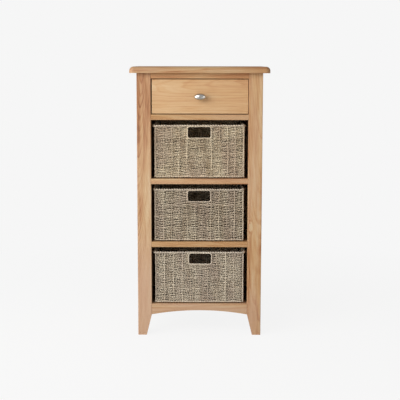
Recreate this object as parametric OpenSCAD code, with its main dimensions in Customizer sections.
// Oak storage tower: one dovetailed drawer above three open bays, each with a woven basket.
// Millimetres. +Z is up and the front faces -Y. The origin is on the floor, under the
// middle of the whole object's box, and x = 0 is the centre line.

/* [Carcass] */
// Width over the outer faces of the legs
body_w = 415.5; // [400:0.5:480]
// Depth from the face of the front legs to the back of the rear legs
body_d = 300; // [290:2:380]
// Width of a leg, seen from the front
leg_w = 46.5; // [42:0.5:54]
// Depth of a leg, seen from the side
leg_d = 40; // [36:1:50]
// Width that a foot tapers to at the floor
foot_w = 29; // [20:1:40]
// Depth that a foot tapers to at the floor
foot_d = 27; // [20:1:34]
// Radius of the eased edges of the legs
leg_edge_r = 2; // [1:0.5:4]

/* [Heights] */
// Floor to the ends of the arches, where the feet start to taper
foot_h = 71.4; // [50:0.2:110]
// Rise of each arch above its ends
arch_rise = 14.5; // [6:0.5:20]
// Height of the arched bottom rails, at their ends
base_rail_h = 37; // [32:1:60]
// Clear height of each basket bay
bay_h = 195.2; // [188:0.2:260]
// Height of the rails under and between the bays
rail_h = 18; // [17:1:28]
// Clear height of the drawer's opening
drawer_bay_h = 117.5; // [112:0.5:160]
// Height of the rail above the drawer
top_rail_h = 18; // [16:1:30]

/* [Top board] */
// Thickness of the top board
top_t = 21; // [18:1:30]
// Radius of the round-over along its upper edge
top_edge_r = 14; // [8:0.5:16]
// Radius of its corners, seen from above
top_corner_r = 16; // [16:1:40]
// Overhang at each side
top_side = 23; // [10:1:40]
// Overhang at the front
top_front = 20; // [10:1:24]
// Overhang at the back
top_back = 10; // [2:1:20]

/* [Rails, panels and shelves] */
// Depth of the front rails
rail_d = 24; // [22:1:32]
// Thickness of the side and rear rails
side_rail_t = 18; // [16:1:20]
// Set-back of the side rails from the outer face of the legs
side_inset = 5; // [3:1:8]
// Height of the top rails at the sides and back
upper_rail_h = 44; // [34:1:60]
// Height that the side bottom rails stand above their arch's ends
side_base_h = 52; // [48:1:70]
// Thickness of the side panels
side_panel_t = 12; // [8:1:13]
// Depth of the leg grooves that hold the side panels
groove_d = 6; // [4:0.5:8]
// Lap of the side panels over the side rails
panel_lap = 8; // [6:1:12]
// Thickness of the back panel
back_t = 6; // [4:1:8]
// Lap of the back panel over the rear legs
back_lap = 8; // [6:1:12]
// Lap of the back panel over the rear bottom rail
back_foot_lap = 12; // [8:1:16]
// Thickness of the shelf panels
shelf_t = 15; // [12:1:17]
// Side of the square cleats under the shelves
cleat = 18; // [14:1:20]
// Gap round a shelf where it passes a leg or meets a panel
shelf_gap = 0.3; // [0.2:0.1:0.8]
// Length of the rail tenons
tenon_l = 12; // [8:1:14]
// Thickness of the rail tenons
tenon_t = 10; // [6:1:12]
// Shoulder above and below the tenon of a thin rail
thin_shoulder = 3; // [2:0.5:5]
// Shoulder above and below the tenon of a tall rail
tall_shoulder = 6; // [4:1:8]

/* [Drawer] */
// Gap at each side of the drawer front
drawer_side_gap = 2.5; // [1.5:0.5:4]
// Gap above and below the drawer front
drawer_gap = 2.5; // [1.5:0.5:4]
// How far the closed drawer sits to the right of the middle, within its side gaps
drawer_aside = 1; // [0:0.1:1]
// Set-back of the closed drawer's face from the front of the legs
drawer_recess = 2.5; // [0:0.5:3]
// Gap between the closed drawer and the rear rail
drawer_back_gap = 14; // [13:1:80]
// Drop of the drawer sides below the top of the opening
drawer_side_drop = 18; // [16:1:40]
// Thickness of the drawer front
drawer_front_t = 18; // [16:1:22]
// Radius of the drawer front's eased edges
drawer_edge_r = 1.5; // [0.5:0.5:3]
// Thickness of the drawer sides and back
drawer_side_t = 12; // [10:1:15]
// Wood left in front of the lapped dovetails
lap_t = 5; // [3:1:7]
// Number of dovetails at each corner
tails = 3; // [2:1:4]
// Width of a dovetail at its wide end
tail_w = 20; // [16:1:22]
// Slope of the dovetails, in degrees
tail_angle = 9; // [5:1:12]
// Thickness of the drawer bottom
drawer_bottom_t = 5; // [4:0.5:6]
// Height of the bottom's groove above the drawer side's lower edge
bottom_up = 10; // [9:0.5:12]
// Depth of the bottom's groove
bottom_groove = 5; // [4:0.5:6]
// Drop of the drawer back below the top of the sides
back_drop = 5; // [0:1:12]
// Running gap under the drawer sides and the baskets
run_gap = 0.3; // [0.2:0.1:0.6]
// Width of the kickers that keep the open drawer level
kicker_w = 18; // [14:1:24]
// Gap between the drawer sides and the kickers
kicker_gap = 2.7; // [1:0.1:5]

/* [Knob] */
// Length of the oval knob
knob_l = 39; // [30:1:50]
// Height of the oval knob
knob_h = 22.5; // [16:0.5:26]
// Reach of the knob in front of the drawer
knob_out = 28.5; // [26:0.5:32]
// Diameter of the knob's stem
stem_d = 11; // [8:0.5:14]
// Diameter of the flange at the foot of the stem
flange_d = 16; // [13:0.5:20]
// Thickness of that flange
flange_t = 2; // [1:0.5:3]

/* [Baskets] */
// Gap between a basket's wall and the leg beside it
basket_side_gap = 9.5; // [3:0.5:40]
// Gap between a basket's rim and the back panel
basket_back_gap = 17.5; // [4:0.5:60]
// Gap between a basket's rim and the top of its bay
basket_head_gap = 15.5; // [4:0.5:50]
// Thickness of the woven walls and base
wall = 8; // [6:0.5:9]
// Corner radius of a basket, seen from above
basket_r = 14; // [14:1:20]
// Diameter of the bound rim
rim_d = 9.5; // [9:0.5:12]
// Depth that the wall reaches into the rim
rim_seat = 4.5; // [3:0.5:5]
// Set-back of the baskets from the front of the legs
basket_inset = 6; // [2:1:10]
// Width of the hand hole
hand_w = 72; // [60:1:110]
// Height of the hand hole, below the rim
hand_h = 34; // [26:0.5:60]
// Corner radius of the hand hole
hand_r = 4; // [2:0.5:8]
// Width of the binding round the hand hole
binding = 5; // [3:0.5:8]
// Pride of that binding on each face of the wall
binding_proud = 1; // [0.5:0.5:2]
// Diameter of the wire frame
wire_d = 4; // [3:0.5:4]
// Gap between the wire frame and the weave
wire_gap = 0.3; // [0.2:0.1:0.6]

/* [Screws] */
// Shank diameter of the wood screws
screw_d = 3.5; // [3:0.5:4]
// Head diameter of the wood screws
screw_head_d = 7; // [6:0.5:8]
// Head thickness of the wood screws
screw_head_t = 2; // [1.5:0.5:3]
// Bite of the wood screws in the last piece that they reach
screw_bite = 8; // [6:1:9]
// Clearance round a shank in the first piece that it passes
screw_gap = 0.2; // [0.1:0.1:0.4]
// Diameter of the knob's machine screw
knob_screw_d = 4; // [3:0.5:5]
// Length of that screw inside the knob
knob_screw_bite = 9; // [6:1:12]

/* [Hidden] */
$fn = 48;
eps = 0.01;
bays = 3;

oak = "#cda67a";
oak_light = "#d6b288";
ply = "#dcc39c";
seagrass = "#a89a80";
nickel = "#bdbab4";
black_steel = "#2b2a28";
zinc = "#a8a9ab";

// Levels of the carcass, from the floor
base_top = foot_h + base_rail_h;
bay_pitch = bay_h + rail_h;
function floor_z(i) = base_top + i * bay_pitch;
drawer_floor = floor_z(bays);
drawer_roof = drawer_floor + drawer_bay_h;
leg_h = drawer_roof + top_rail_h;

// Plan of the carcass, measured from the face of the front legs
opening_w = body_w - 2 * leg_w;
inner_half = body_w / 2 - side_inset - side_rail_t;
rear_leg_y = body_d - leg_d;
back_y = body_d - back_t;
rear_rail_y = back_y - side_rail_t;
front_reach = max(knob_out - drawer_recess, top_front);
front_y = (front_reach - body_d - top_back) / 2;
panel_z0 = foot_h + side_base_h - panel_lap;
panel_z1 = leg_h - upper_rail_h + panel_lap;
rail_edge_r = 1;
front_tenon_y = (rail_d - tenon_t) / 2;
rear_tenon_y = rear_rail_y + (side_rail_t - tenon_t) / 2;
side_tenon_x = inner_half + (side_rail_t - tenon_t) / 2;
front_arch_w = opening_w;
side_arch_w = rear_leg_y - leg_d;

// The drawer
drawer_w = opening_w - 2 * drawer_side_gap;
drawer_d = rear_rail_y - drawer_back_gap - drawer_recess;
drawer_side_h = drawer_bay_h - drawer_side_drop;
front_z0 = drawer_floor + drawer_gap;
front_z1 = drawer_roof - drawer_gap;
side_z = drawer_floor + run_gap;
side_in = drawer_w / 2 - drawer_side_t;
tail_l = drawer_front_t - lap_t;
box_back_y = drawer_d - drawer_side_t;
knob_z = (front_z0 + front_z1) / 2;
bottom_z = side_z + bottom_up;
kicker_z = side_z + drawer_side_h + kicker_gap;
tail_z = [for (i = [0 : tails - 1]) side_z + drawer_side_h * (i + 0.5) / tails];
stop_l = 12;
stop_w = 40;
stop_h = 20;
stop_x = 80;

// The baskets
rim_r = rim_d / 2;
rim_proud = rim_r - wall / 2;
basket_w = opening_w - 2 * basket_side_gap;
basket_d = back_y - basket_back_gap - basket_inset - 2 * rim_proud;
basket_h = bay_h - basket_head_gap;
wall_top = basket_h - rim_d + rim_seat;
rim_w = basket_w - wall;
rim_dep = basket_d - wall;
rim_corner = basket_r - wall / 2;
basket_y = basket_inset + rim_proud + basket_d / 2;
hand_z1 = basket_h - rim_d;
hand_z0 = hand_z1 - hand_h;
wire_r = wire_d / 2;
wire_in = wall + wire_gap + wire_r;
wire_corner = basket_r - wire_in;
wire_z = wall + wire_gap + wire_r;
wire_drop = 1;
wire_top = basket_h - rim_d + rim_seat / 2 - wire_drop;

// Screw places
top_screw_x = opening_w / 3;
counterbore_gap = 0.5;
counterbore_depth = 4;
counterbore_r = screw_head_d / 2 + counterbore_gap;
top_head_z = drawer_roof + counterbore_depth;
cleat_screw_in = 35;
cleat_screw_y = [leg_d + cleat_screw_in, rear_leg_y - cleat_screw_in];
guide_h = cleat;
knob_head_d = 2 * knob_screw_d;
knob_head_t = 2.4;
back_screws = 5;
back_screw_up = 30;
back_screw_down = 12;
back_screw_low = base_top + back_screw_up;
back_screw_high = leg_h - upper_rail_h - back_screw_down;
back_screw_z = [for (i = [0 : back_screws - 1])
    back_screw_low + i * (back_screw_high - back_screw_low) / (back_screws - 1)];
back_screw_x = opening_w / 2 + back_lap / 2;

// Everything is drawn with y = 0 on the face of the front legs, then moved to the frame.
module placed() {
    translate([0, front_y, 0]) children();
}

// A box given by two opposite corners
module block(low, high) {
    translate(low) cube(high - low);
}

// A rectangle with true round corners, from the origin
module round_rect(w, d, r) {
    translate([r, 0]) square([w - 2 * r, d]);
    translate([0, r]) square([w, d - 2 * r]);
    for (x = [r, w - r], y = [r, d - r]) translate([x, y]) circle(r);
}

// The same, about its centre
module centred_round_rect(w, d, r) {
    translate([-w / 2, -d / 2]) round_rect(w, d, r);
}

// A shape drawn in (y, z), extruded along x from x0 for a length
module along_x(x0, length) {
    translate([x0, 0, 0]) rotate([90, 0, 90]) linear_extrude(length) children();
}

// A shape drawn in (x, z), extruded along y from y0 for a length
module along_y(y0, length) {
    translate([0, y0 + length, 0]) rotate([90, 0, 0]) linear_extrude(length) children();
}

// Turns a flat drawing round, so that one outline serves the front and the rear
module facing(dir) {
    if (dir > 0) children();
    else mirror([1, 0]) children();
}

// The right-hand piece of a pair, or its mirror image
module handed(side) {
    if (side > 0) children();
    else mirror([1, 0, 0]) children();
}

// Centre of the arch's circle below its crown, from the chord and the rise
function arch_radius(chord) = (chord * chord / 4 + arch_rise * arch_rise) / (2 * arch_rise);

// The space under an arch whose chord is centred on x = mid, at the height foot_h
module arch_space(chord, mid) {
    r = arch_radius(chord);
    intersection() {
        translate([mid, foot_h + arch_rise - r]) circle(r, $fn = 200);
        translate([mid - chord / 2, foot_h - eps]) square([chord, arch_rise + 1]);
    }
}

// A closed tube round a rectangle with rounded corners, centred on the origin
module ring_tube(w, d, corner, tube) {
    for (s = [-1, 1]) {
        translate([-(w / 2 - corner), s * d / 2, 0]) rotate([0, 90, 0])
            cylinder(r = tube, h = w - 2 * corner);
        translate([s * w / 2, -(d / 2 - corner), 0]) rotate([-90, 0, 0])
            cylinder(r = tube, h = d - 2 * corner);
    }
    for (k = [0 : 3]) {
        sx = (k == 0 || k == 3) ? 1 : -1;
        sy = k < 2 ? 1 : -1;
        translate([sx * (w / 2 - corner), sy * (d / 2 - corner), 0]) rotate([0, 0, 90 * k])
            rotate_extrude(angle = 90) translate([corner, 0]) circle(tube);
    }
}

// Top board

// Section across the board: square below, rounded over above
module top_section(w) {
    square([w, top_t - top_edge_r]);
    translate([top_edge_r, 0]) square([w - 2 * top_edge_r, top_t]);
    intersection() {
        square([w, top_t]);
        for (x = [top_edge_r, w - top_edge_r]) translate([x, top_t - top_edge_r]) circle(top_edge_r);
    }
}

// Half of the section at a corner, turned about the corner's axis
module top_corner() {
    rotate_extrude(angle = 90) intersection() {
        translate([top_corner_r - (body_w + 2 * top_side), 0]) top_section(body_w + 2 * top_side);
        square([top_corner_r, top_t]);
    }
}

module top_screw_spots() {
    for (x = [-top_screw_x, 0, top_screw_x], y = [rail_d / 2, rear_rail_y + side_rail_t / 2])
        translate([x, y, 0]) children();
}

// Holes for a wood screw that points along +z and enters its last piece at z = 0: the
// pilot in that piece, and the clearance hole through what lies before it
module pilot() {
    translate([0, 0, -eps]) cylinder(d = screw_d, h = screw_bite + eps);
}

module clearance_hole(thickness) {
    translate([0, 0, -thickness - eps]) cylinder(d = screw_d + 2 * screw_gap, h = thickness + 2 * eps);
}

module top_board() {
    w = body_w + 2 * top_side;
    d = body_d + top_front + top_back;
    color(oak) placed() difference() {
        translate([0, -top_front, leg_h]) {
            along_x(-w / 2 + top_corner_r, w - 2 * top_corner_r) top_section(d);
            along_y(top_corner_r, d - 2 * top_corner_r) translate([-w / 2, 0]) top_section(w);
            for (k = [0 : 3]) {
                sx = (k == 0 || k == 3) ? 1 : -1;
                y = k < 2 ? d - top_corner_r : top_corner_r;
                translate([sx * (w / 2 - top_corner_r), y, 0]) rotate([0, 0, 90 * k]) top_corner();
            }
        }
        top_screw_spots() translate([0, 0, leg_h]) pilot();
    }
}

// Legs

// Levels of the rails that run into a leg's inner face: [low z, height, shoulder]
front_rail_levels = concat(
    [[foot_h, base_rail_h, tall_shoulder]],
    [for (i = [1 : bays]) [floor_z(i) - rail_h, rail_h, thin_shoulder]],
    [[drawer_roof, top_rail_h, thin_shoulder]]
);
rear_rail_levels = [
    [foot_h, base_rail_h, tall_shoulder],
    [leg_h - upper_rail_h, upper_rail_h, tall_shoulder]
];

// Heights of the side rails' tenons, kept clear of the panel's groove: [low z, high z]
groove_clear = 4;
side_tenons = [
    [foot_h + tall_shoulder, panel_z0 - groove_clear],
    [panel_z1 + groove_clear, leg_h - tall_shoulder]
];

// The right-hand leg, tapered on its inner face and on the face towards the other leg of
// its side: taper is 1 on a front leg and -1 on a rear leg
module leg_blank(y0, taper) {
    intersection() {
        translate([body_w / 2 - leg_w, y0, 0]) linear_extrude(leg_h) round_rect(leg_w, leg_d, leg_edge_r);
        along_y(y0, leg_d) translate([body_w / 2, 0])
            polygon([[0, 0], [-foot_w, 0], [-leg_w, foot_h], [-leg_w, leg_h], [0, leg_h]]);
        along_x(body_w / 2 - leg_w, leg_w) translate([y0 + (taper > 0 ? 0 : leg_d), 0]) facing(taper)
            polygon([[0, 0], [foot_d, 0], [leg_d, foot_h], [leg_d, leg_h], [0, leg_h]]);
    }
}

// Mortises for the rails between the two legs of the front or the back
module rail_mortises(levels, y0) {
    for (l = levels)
        block([opening_w / 2 - eps, y0, l[0] + l[2]],
              [opening_w / 2 + tenon_l, y0 + tenon_t, l[0] + l[1] - l[2]]);
}

// Mortises and panel groove on the face that looks along the side; dir is into the leg
module side_mortises(y_face, dir) {
    for (t = side_tenons)
        block([side_tenon_x, min(y_face - dir * eps, y_face + dir * tenon_l), t[0]],
              [side_tenon_x + tenon_t, max(y_face - dir * eps, y_face + dir * tenon_l), t[1]]);
    block([inner_half, min(y_face - dir * eps, y_face + dir * groove_d), panel_z0],
          [inner_half + side_panel_t, max(y_face - dir * eps, y_face + dir * groove_d), panel_z1]);
}

module front_leg(side) {
    color(oak) placed() handed(side) difference() {
        leg_blank(0, 1);
        rail_mortises(front_rail_levels, front_tenon_y);
        side_mortises(leg_d, -1);
    }
}

module rear_leg(side) {
    color(oak) placed() handed(side) difference() {
        leg_blank(rear_leg_y, -1);
        rail_mortises(rear_rail_levels, rear_tenon_y);
        side_mortises(rear_leg_y, 1);
        block([opening_w / 2 - eps, back_y, base_top - back_foot_lap],
              [opening_w / 2 + back_lap, body_d + eps, leg_h + eps]);
        back_screw_spots() pilot();
    }
}

// Side frames

module side_panel(side) {
    color(oak_light) placed() handed(side) difference() {
        block([inner_half, leg_d - groove_d, panel_z0],
              [inner_half + side_panel_t, rear_leg_y + groove_d, panel_z1]);
        for (i = [1 : bays]) cleat_screw_spots(i) pilot();
    }
}

// A side rail with its two tenons
module side_rail_blank(z0, z1, tenon) {
    block([inner_half, leg_d, z0], [inner_half + side_rail_t, rear_leg_y, z1]);
    block([side_tenon_x, leg_d - tenon_l, tenon[0]],
          [side_tenon_x + tenon_t, rear_leg_y + tenon_l, tenon[1]]);
}

module side_top_rail(side) {
    z0 = leg_h - upper_rail_h;
    color(oak) placed() handed(side) difference() {
        side_rail_blank(z0, leg_h, side_tenons[1]);
        block([inner_half - eps, leg_d - eps, z0 - eps],
              [inner_half + side_panel_t, rear_leg_y + eps, panel_z1]);
    }
}

module side_bottom_rail(side) {
    z1 = foot_h + side_base_h;
    color(oak) placed() handed(side) difference() {
        side_rail_blank(foot_h, z1, side_tenons[0]);
        block([inner_half - eps, leg_d - eps, panel_z0],
              [inner_half + side_panel_t, rear_leg_y + eps, z1 + eps]);
        block([inner_half - eps, leg_d - eps, base_top - shelf_t],
              [inner_half + groove_d, rear_leg_y + eps, base_top]);
        along_x(inner_half - eps, side_rail_t + 2 * eps) arch_space(side_arch_w, body_d / 2);
    }
}

// Rails across the front and the back

// A front rail: eased along its two front edges, with a tenon at each end
module front_rail_blank(level) {
    r = rail_edge_r;
    z0 = level[0];
    h = level[1];
    along_x(-opening_w / 2, opening_w) translate([0, z0]) {
        translate([r, 0]) square([rail_d - r, h]);
        translate([0, r]) square([rail_d, h - 2 * r]);
        for (z = [r, h - r]) translate([r, z]) circle(r);
    }
    block([-opening_w / 2 - tenon_l, front_tenon_y, z0 + level[2]],
          [opening_w / 2 + tenon_l, front_tenon_y + tenon_t, z0 + h - level[2]]);
}

module shelf_rail(i) {
    color(oak) placed() front_rail_blank(front_rail_levels[i]);
}

module front_bottom_rail() {
    color(oak) placed() difference() {
        front_rail_blank(front_rail_levels[0]);
        along_y(-eps, rail_d + 2 * eps) arch_space(front_arch_w, 0);
    }
}

// Through holes for the screws that hold the top board, with counterbores below
module top_screw_holes(z0) {
    top_screw_spots() {
        translate([0, 0, z0 - eps]) cylinder(r = counterbore_r, h = top_head_z - z0 + eps);
        translate([0, 0, leg_h]) clearance_hole(leg_h - top_head_z);
    }
}

module front_top_rail() {
    color(oak) placed() difference() {
        front_rail_blank(front_rail_levels[bays + 1]);
        top_screw_holes(drawer_roof);
    }
}

// A rear rail with its two tenons
module rear_rail_blank(level) {
    block([-opening_w / 2, rear_rail_y, level[0]], [opening_w / 2, back_y, level[0] + level[1]]);
    block([-opening_w / 2 - tenon_l, rear_tenon_y, level[0] + level[2]],
          [opening_w / 2 + tenon_l, rear_tenon_y + tenon_t, level[0] + level[1] - level[2]]);
}

module rear_top_rail() {
    color(oak) placed() difference() {
        rear_rail_blank(rear_rail_levels[1]);
        top_screw_holes(leg_h - upper_rail_h);
    }
}

module rear_bottom_rail() {
    color(oak) placed() difference() {
        rear_rail_blank(rear_rail_levels[0]);
        along_y(rear_rail_y - eps, side_rail_t + 2 * eps) arch_space(front_arch_w, 0);
    }
}

// Where the screws of the back panel enter the rear legs, pointing forwards
module back_screw_spots() {
    for (x = [-back_screw_x, back_screw_x], z = back_screw_z)
        translate([x, back_y, z]) rotate([90, 0, 0]) children();
}

module back_panel() {
    color(ply) placed() difference() {
        block([-opening_w / 2 - back_lap, back_y, base_top - back_foot_lap],
              [opening_w / 2 + back_lap, body_d, leg_h]);
        back_screw_spots() clearance_hole(back_t);
    }
}

// Shelves, cleats, guides and kickers

// A shelf notched round the four legs: half is its half width between the legs
module shelf(i, half, rear) {
    z1 = floor_z(i);
    narrow = opening_w / 2 - shelf_gap;
    color(oak_light) placed() difference() {
        block([-half, rail_d, z1 - shelf_t], [half, rear, z1]);
        for (s = [-1, 1]) handed(s) {
            block([narrow, rail_d - eps, z1 - shelf_t - eps], [half + eps, leg_d + shelf_gap, z1 + eps]);
            block([narrow, rear_leg_y - shelf_gap, z1 - shelf_t - eps], [half + eps, rear + eps, z1 + eps]);
        }
        if (i == bays) guide_screw_spots() pilot();
    }
}

// Where the screws of a level's right-hand cleat enter the side panel, pointing into it
module cleat_screw_spots(i) {
    for (y = cleat_screw_y)
        translate([inner_half, y, floor_z(i) - shelf_t - cleat / 2]) rotate([0, 90, 0]) children();
}

module shelf_cleat(i, side) {
    z1 = floor_z(i) - shelf_t;
    color(oak_light) placed() handed(side) difference() {
        block([inner_half - cleat, leg_d, z1 - cleat], [inner_half, rear_leg_y, z1]);
        cleat_screw_spots(i) clearance_hole(cleat);
    }
}

// Where the screws of the drawer guides enter the shelf, pointing down
module guide_screw_spots() {
    for (s = [-1, 1], y = cleat_screw_y)
        translate([s * (opening_w / 2 + inner_half) / 2, y, drawer_floor]) rotate([180, 0, 0]) children();
}

module drawer_guide(side) {
    color(oak_light) placed() handed(side) difference() {
        block([opening_w / 2, leg_d, drawer_floor], [inner_half, rear_leg_y, drawer_floor + guide_h]);
        guide_screw_spots() clearance_hole(guide_h);
    }
}

module drawer_kicker(side) {
    color(oak_light) placed() handed(side)
        block([opening_w / 2 - kicker_w, rail_d, kicker_z], [opening_w / 2, rear_rail_y, leg_h]);
}

module drawer_stops() {
    y = drawer_recess + drawer_d + run_gap;
    color(oak_light) placed() for (x = [-stop_x, stop_x])
        block([x - stop_w / 2, y, drawer_floor], [x + stop_w / 2, y + stop_l, drawer_floor + stop_h]);
}

// Drawer, drawn with y = 0 on its own face and x = 0 on its own middle

module in_opening() {
    placed() translate([drawer_aside, drawer_recess, 0]) children();
}

// The outlines of the dovetails in (y, z): they start at y0 and widen towards dir
module tail_outlines(y0, length, dir) {
    narrow = tail_w - 2 * length * tan(tail_angle);
    for (z = tail_z)
        polygon([[y0, z - narrow / 2], [y0 + dir * length, z - tail_w / 2],
                 [y0 + dir * length, z + tail_w / 2], [y0, z + narrow / 2]]);
}

// The dovetails of the right-hand side, at the front and at the back
module front_tails() {
    along_x(side_in, drawer_side_t) tail_outlines(drawer_front_t, tail_l, -1);
}

module back_tails() {
    along_x(side_in, drawer_side_t) tail_outlines(box_back_y, drawer_side_t, 1);
}

// The drawer back before its dovetail sockets are cut
module back_blank() {
    block([-drawer_w / 2, box_back_y, bottom_z + drawer_bottom_t],
          [drawer_w / 2, drawer_d, side_z + drawer_side_h - back_drop]);
}

// The drawer front, eased round its face
module front_blank() {
    r = drawer_edge_r;
    intersection() {
        along_x(-drawer_w / 2, drawer_w) translate([0, front_z0]) {
            translate([r, 0]) square([drawer_front_t - r, front_z1 - front_z0]);
            translate([0, r]) square([r, front_z1 - front_z0 - 2 * r]);
            for (z = [r, front_z1 - front_z0 - r]) translate([r, z]) circle(r);
        }
        translate([0, 0, front_z0]) linear_extrude(front_z1 - front_z0) {
            translate([-drawer_w / 2, r]) square([drawer_w, drawer_front_t - r]);
            translate([-drawer_w / 2 + r, 0]) square([drawer_w - 2 * r, r]);
            for (s = [-1, 1]) translate([s * (drawer_w / 2 - r), r]) circle(r);
        }
    }
}

module drawer_bottom_blank() {
    block([-side_in - bottom_groove, drawer_front_t - bottom_groove, bottom_z],
          [side_in + bottom_groove, drawer_d, bottom_z + drawer_bottom_t]);
}

module drawer_front() {
    color(oak) in_opening() difference() {
        front_blank();
        for (s = [-1, 1]) handed(s) {
            front_tails();
            along_x(side_in, drawer_side_t + eps) tail_outlines(drawer_front_t, tail_l, -1);
        }
        drawer_bottom_blank();
        translate([0, -eps, knob_z]) rotate([-90, 0, 0])
            cylinder(d = knob_screw_d + 2 * screw_gap, h = drawer_front_t + 2 * eps);
    }
}

module drawer_side(side) {
    color(oak_light) in_opening() handed(side) difference() {
        union() {
            block([side_in, drawer_front_t, side_z], [drawer_w / 2, drawer_d, side_z + drawer_side_h]);
            front_tails();
        }
        difference() {
            back_blank();
            back_tails();
        }
        drawer_bottom_blank();
    }
}

module drawer_back() {
    color(oak_light) in_opening() difference() {
        back_blank();
        for (s = [-1, 1]) handed(s)
            along_x(side_in, drawer_side_t + eps) tail_outlines(box_back_y, drawer_side_t, 1);
    }
}

module drawer_bottom() {
    color(ply) in_opening() drawer_bottom_blank();
}

// Knob

// Half of the oval's outline, from its axis outwards
knob_steps = 20;
knob_half = [for (i = [0 : knob_steps]) let (a = 180 * i / knob_steps)
    [knob_h / 2 * sin(a), knob_l / 2 * cos(a)]];

module knob() {
    color(nickel) in_opening() translate([0, 0, knob_z]) difference() {
        union() {
            translate([0, -knob_out + knob_h / 2, 0]) rotate([0, 90, 0]) rotate_extrude() polygon(knob_half);
            rotate([90, 0, 0]) cylinder(d = flange_d, h = flange_t);
            rotate([90, 0, 0]) cylinder(d = stem_d, h = knob_out - knob_h / 2);
        }
        translate([0, eps, 0]) rotate([90, 0, 0]) cylinder(d = knob_screw_d, h = knob_screw_bite + eps);
    }
}

module knob_screw() {
    color(zinc) in_opening() translate([0, 0, knob_z]) {
        translate([0, drawer_front_t, 0]) rotate([90, 0, 0])
            cylinder(d = knob_screw_d, h = drawer_front_t + knob_screw_bite);
        translate([0, drawer_front_t, 0]) rotate([-90, 0, 0]) cylinder(d = knob_head_d, h = knob_head_t);
    }
}

// Baskets, counted from the bottom bay

module in_bay(i) {
    translate([0, basket_y, floor_z(i) + run_gap]) children();
}

// The woven wall and base, with the notch that the rim closes to make the hand hole
module basket_shell() {
    difference() {
        linear_extrude(wall_top) centred_round_rect(basket_w, basket_d, basket_r);
        translate([0, 0, wall]) linear_extrude(wall_top)
            centred_round_rect(basket_w - 2 * wall, basket_d - 2 * wall, basket_r - wall);
        block([-hand_w / 2 - binding, -basket_d / 2 - 1, hand_z0 - binding],
              [hand_w / 2 + binding, -basket_d / 2 + wall + 1, wall_top + 1]);
    }
}

module basket_weave(i) {
    color(seagrass) placed() in_bay(i) basket_shell();
}

module basket_rim(i) {
    color(seagrass) placed() in_bay(i) difference() {
        translate([0, 0, basket_h - rim_r]) ring_tube(rim_w, rim_dep, rim_corner, rim_r);
        basket_shell();
    }
}

// A U of bound cord round the sides and foot of the hand hole
module basket_hand_binding(i) {
    color(seagrass) placed() in_bay(i)
        along_y(-basket_d / 2 - binding_proud, wall + 2 * binding_proud) difference() {
            translate([-hand_w / 2 - binding, hand_z0 - binding])
                square([hand_w + 2 * binding, hand_h + binding]);
            translate([-hand_w / 2 + hand_r, hand_z0]) square([hand_w - 2 * hand_r, hand_h + 1]);
            translate([-hand_w / 2, hand_z0 + hand_r]) square([hand_w, hand_h + 1]);
            for (s = [-1, 1]) translate([s * (hand_w / 2 - hand_r), hand_z0 + hand_r]) circle(hand_r);
        }
}

// Welded wire: a hoop on the base and an upright in each corner
module basket_wire_frame(i) {
    w = basket_w - 2 * wire_in;
    d = basket_d - 2 * wire_in;
    out = wire_corner / sqrt(2);
    color(black_steel) placed() in_bay(i) {
        translate([0, 0, wire_z]) ring_tube(w, d, wire_corner, wire_r);
        for (sx = [-1, 1], sy = [-1, 1])
            translate([sx * (w / 2 - wire_corner + out), sy * (d / 2 - wire_corner + out), wire_z])
                cylinder(r = wire_r, h = wire_top - wire_z);
    }
}

// Screws

// A wood screw that points along +z and enters its last piece at z = 0
module wood_screw(thickness) {
    translate([0, 0, -thickness]) {
        cylinder(d = screw_d, h = thickness + screw_bite);
        translate([0, 0, -screw_head_t]) cylinder(d = screw_head_d, h = screw_head_t);
    }
}

module top_screws() {
    color(zinc) placed() top_screw_spots() translate([0, 0, leg_h]) wood_screw(leg_h - top_head_z);
}

module cleat_screws() {
    color(zinc) placed() for (s = [-1, 1], i = [1 : bays]) handed(s) cleat_screw_spots(i) wood_screw(cleat);
}

module guide_screws() {
    color(zinc) placed() guide_screw_spots() wood_screw(guide_h);
}

module back_panel_screws() {
    color(zinc) placed() back_screw_spots() wood_screw(back_t);
}

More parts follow.
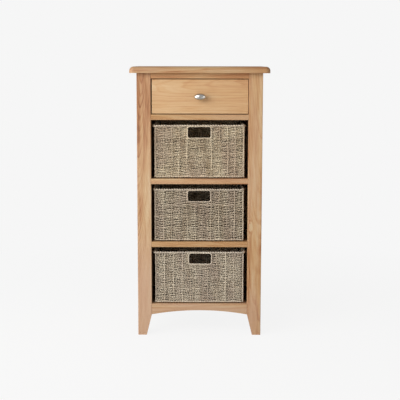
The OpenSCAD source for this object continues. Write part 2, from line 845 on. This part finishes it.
top_board();
front_leg(-1);  // front_leg_left
front_leg(1);  // front_leg_right
rear_leg(-1);  // rear_leg_left
rear_leg(1);  // rear_leg_right
side_panel(-1);  // side_panel_left
side_panel(1);  // side_panel_right
side_top_rail(-1);  // side_top_rail_left
side_top_rail(1);  // side_top_rail_right
side_bottom_rail(-1);  // side_bottom_rail_left
side_bottom_rail(1);  // side_bottom_rail_right
front_top_rail();
rear_top_rail();
front_bottom_rail();
rear_bottom_rail();
back_panel();
shelf_rail(3);  // drawer_rail
shelf_rail(2);  // upper_shelf_rail
shelf_rail(1);  // lower_shelf_rail
shelf(3, inner_half - shelf_gap, back_y - shelf_gap);  // drawer_shelf
shelf(2, inner_half - shelf_gap, back_y - shelf_gap);  // upper_shelf
shelf(1, inner_half - shelf_gap, back_y - shelf_gap);  // lower_shelf
shelf(0, inner_half + groove_d, rear_rail_y);  // bottom_shelf
shelf_cleat(3, -1);  // drawer_shelf_cleat_left
shelf_cleat(3, 1);  // drawer_shelf_cleat_right
shelf_cleat(2, -1);  // upper_shelf_cleat_left
shelf_cleat(2, 1);  // upper_shelf_cleat_right
shelf_cleat(1, -1);  // lower_shelf_cleat_left
shelf_cleat(1, 1);  // lower_shelf_cleat_right
drawer_guide(-1);  // drawer_guide_left
drawer_guide(1);  // drawer_guide_right
drawer_kicker(-1);  // drawer_kicker_left
drawer_kicker(1);  // drawer_kicker_right
drawer_stops();
drawer_front();
drawer_side(-1);  // drawer_side_left
drawer_side(1);  // drawer_side_right
drawer_back();
drawer_bottom();
knob();
knob_screw();
basket_weave(2);  // top_basket_weave
basket_rim(2);  // top_basket_rim
basket_hand_binding(2);  // top_basket_hand_binding
basket_wire_frame(2);  // top_basket_wire_frame
basket_weave(1);  // middle_basket_weave
basket_rim(1);  // middle_basket_rim
basket_hand_binding(1);  // middle_basket_hand_binding
basket_wire_frame(1);  // middle_basket_wire_frame
basket_weave(0);  // bottom_basket_weave
basket_rim(0);  // bottom_basket_rim
basket_hand_binding(0);  // bottom_basket_hand_binding
basket_wire_frame(0);  // bottom_basket_wire_frame
top_screws();
cleat_screws();
guide_screws();
back_panel_screws();
